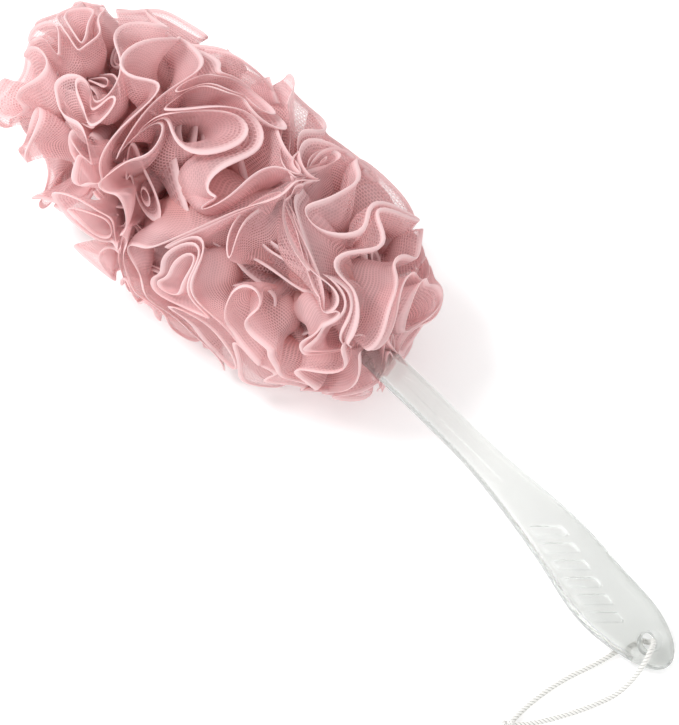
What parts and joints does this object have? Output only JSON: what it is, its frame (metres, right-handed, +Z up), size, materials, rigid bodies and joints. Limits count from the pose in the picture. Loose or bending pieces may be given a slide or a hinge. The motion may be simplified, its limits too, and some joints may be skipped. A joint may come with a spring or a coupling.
{
  "type": "back scrubber",
  "caption": "Long-handled bath scrubber: a head of gathered netting tiers tied round the stem of a clear moulded handle, with a paddle grip and a hanging cord loop.",
  "frame": {"origin": "on the surface it lies on, under the middle of its bounding box, without the hanging cord", "axes": "+X along the scrubber from the netting head to the tip of the handle, +Z up, away from the surface it lies on"},
  "size_m": [0.3998, 0.1327, 0.1138],
  "materials": {
    "clear_plastic": "clear moulded polystyrene, glossy",
    "netting": "soft knitted polyethylene netting, dusty pink",
    "tie_cord": "thin braided nylon cord",
    "white_cord": "white twisted polyester cord"
  },
  "bodies": {
    "root": {"handle": "clear_plastic", "netting_1": "netting", "netting_2": "netting", "netting_3": "netting", "netting_4": "netting", "netting_5": "netting", "netting_6": "netting", "tie_1": "tie_cord", "tie_2": "tie_cord", "tie_3": "tie_cord", "tie_4": "tie_cord", "tie_5": "tie_cord", "tie_6": "tie_cord", "hang_cord_over": "white_cord", "hang_cord_under": "white_cord", "hang_knot": "white_cord"}
  },
  "joints": []
}
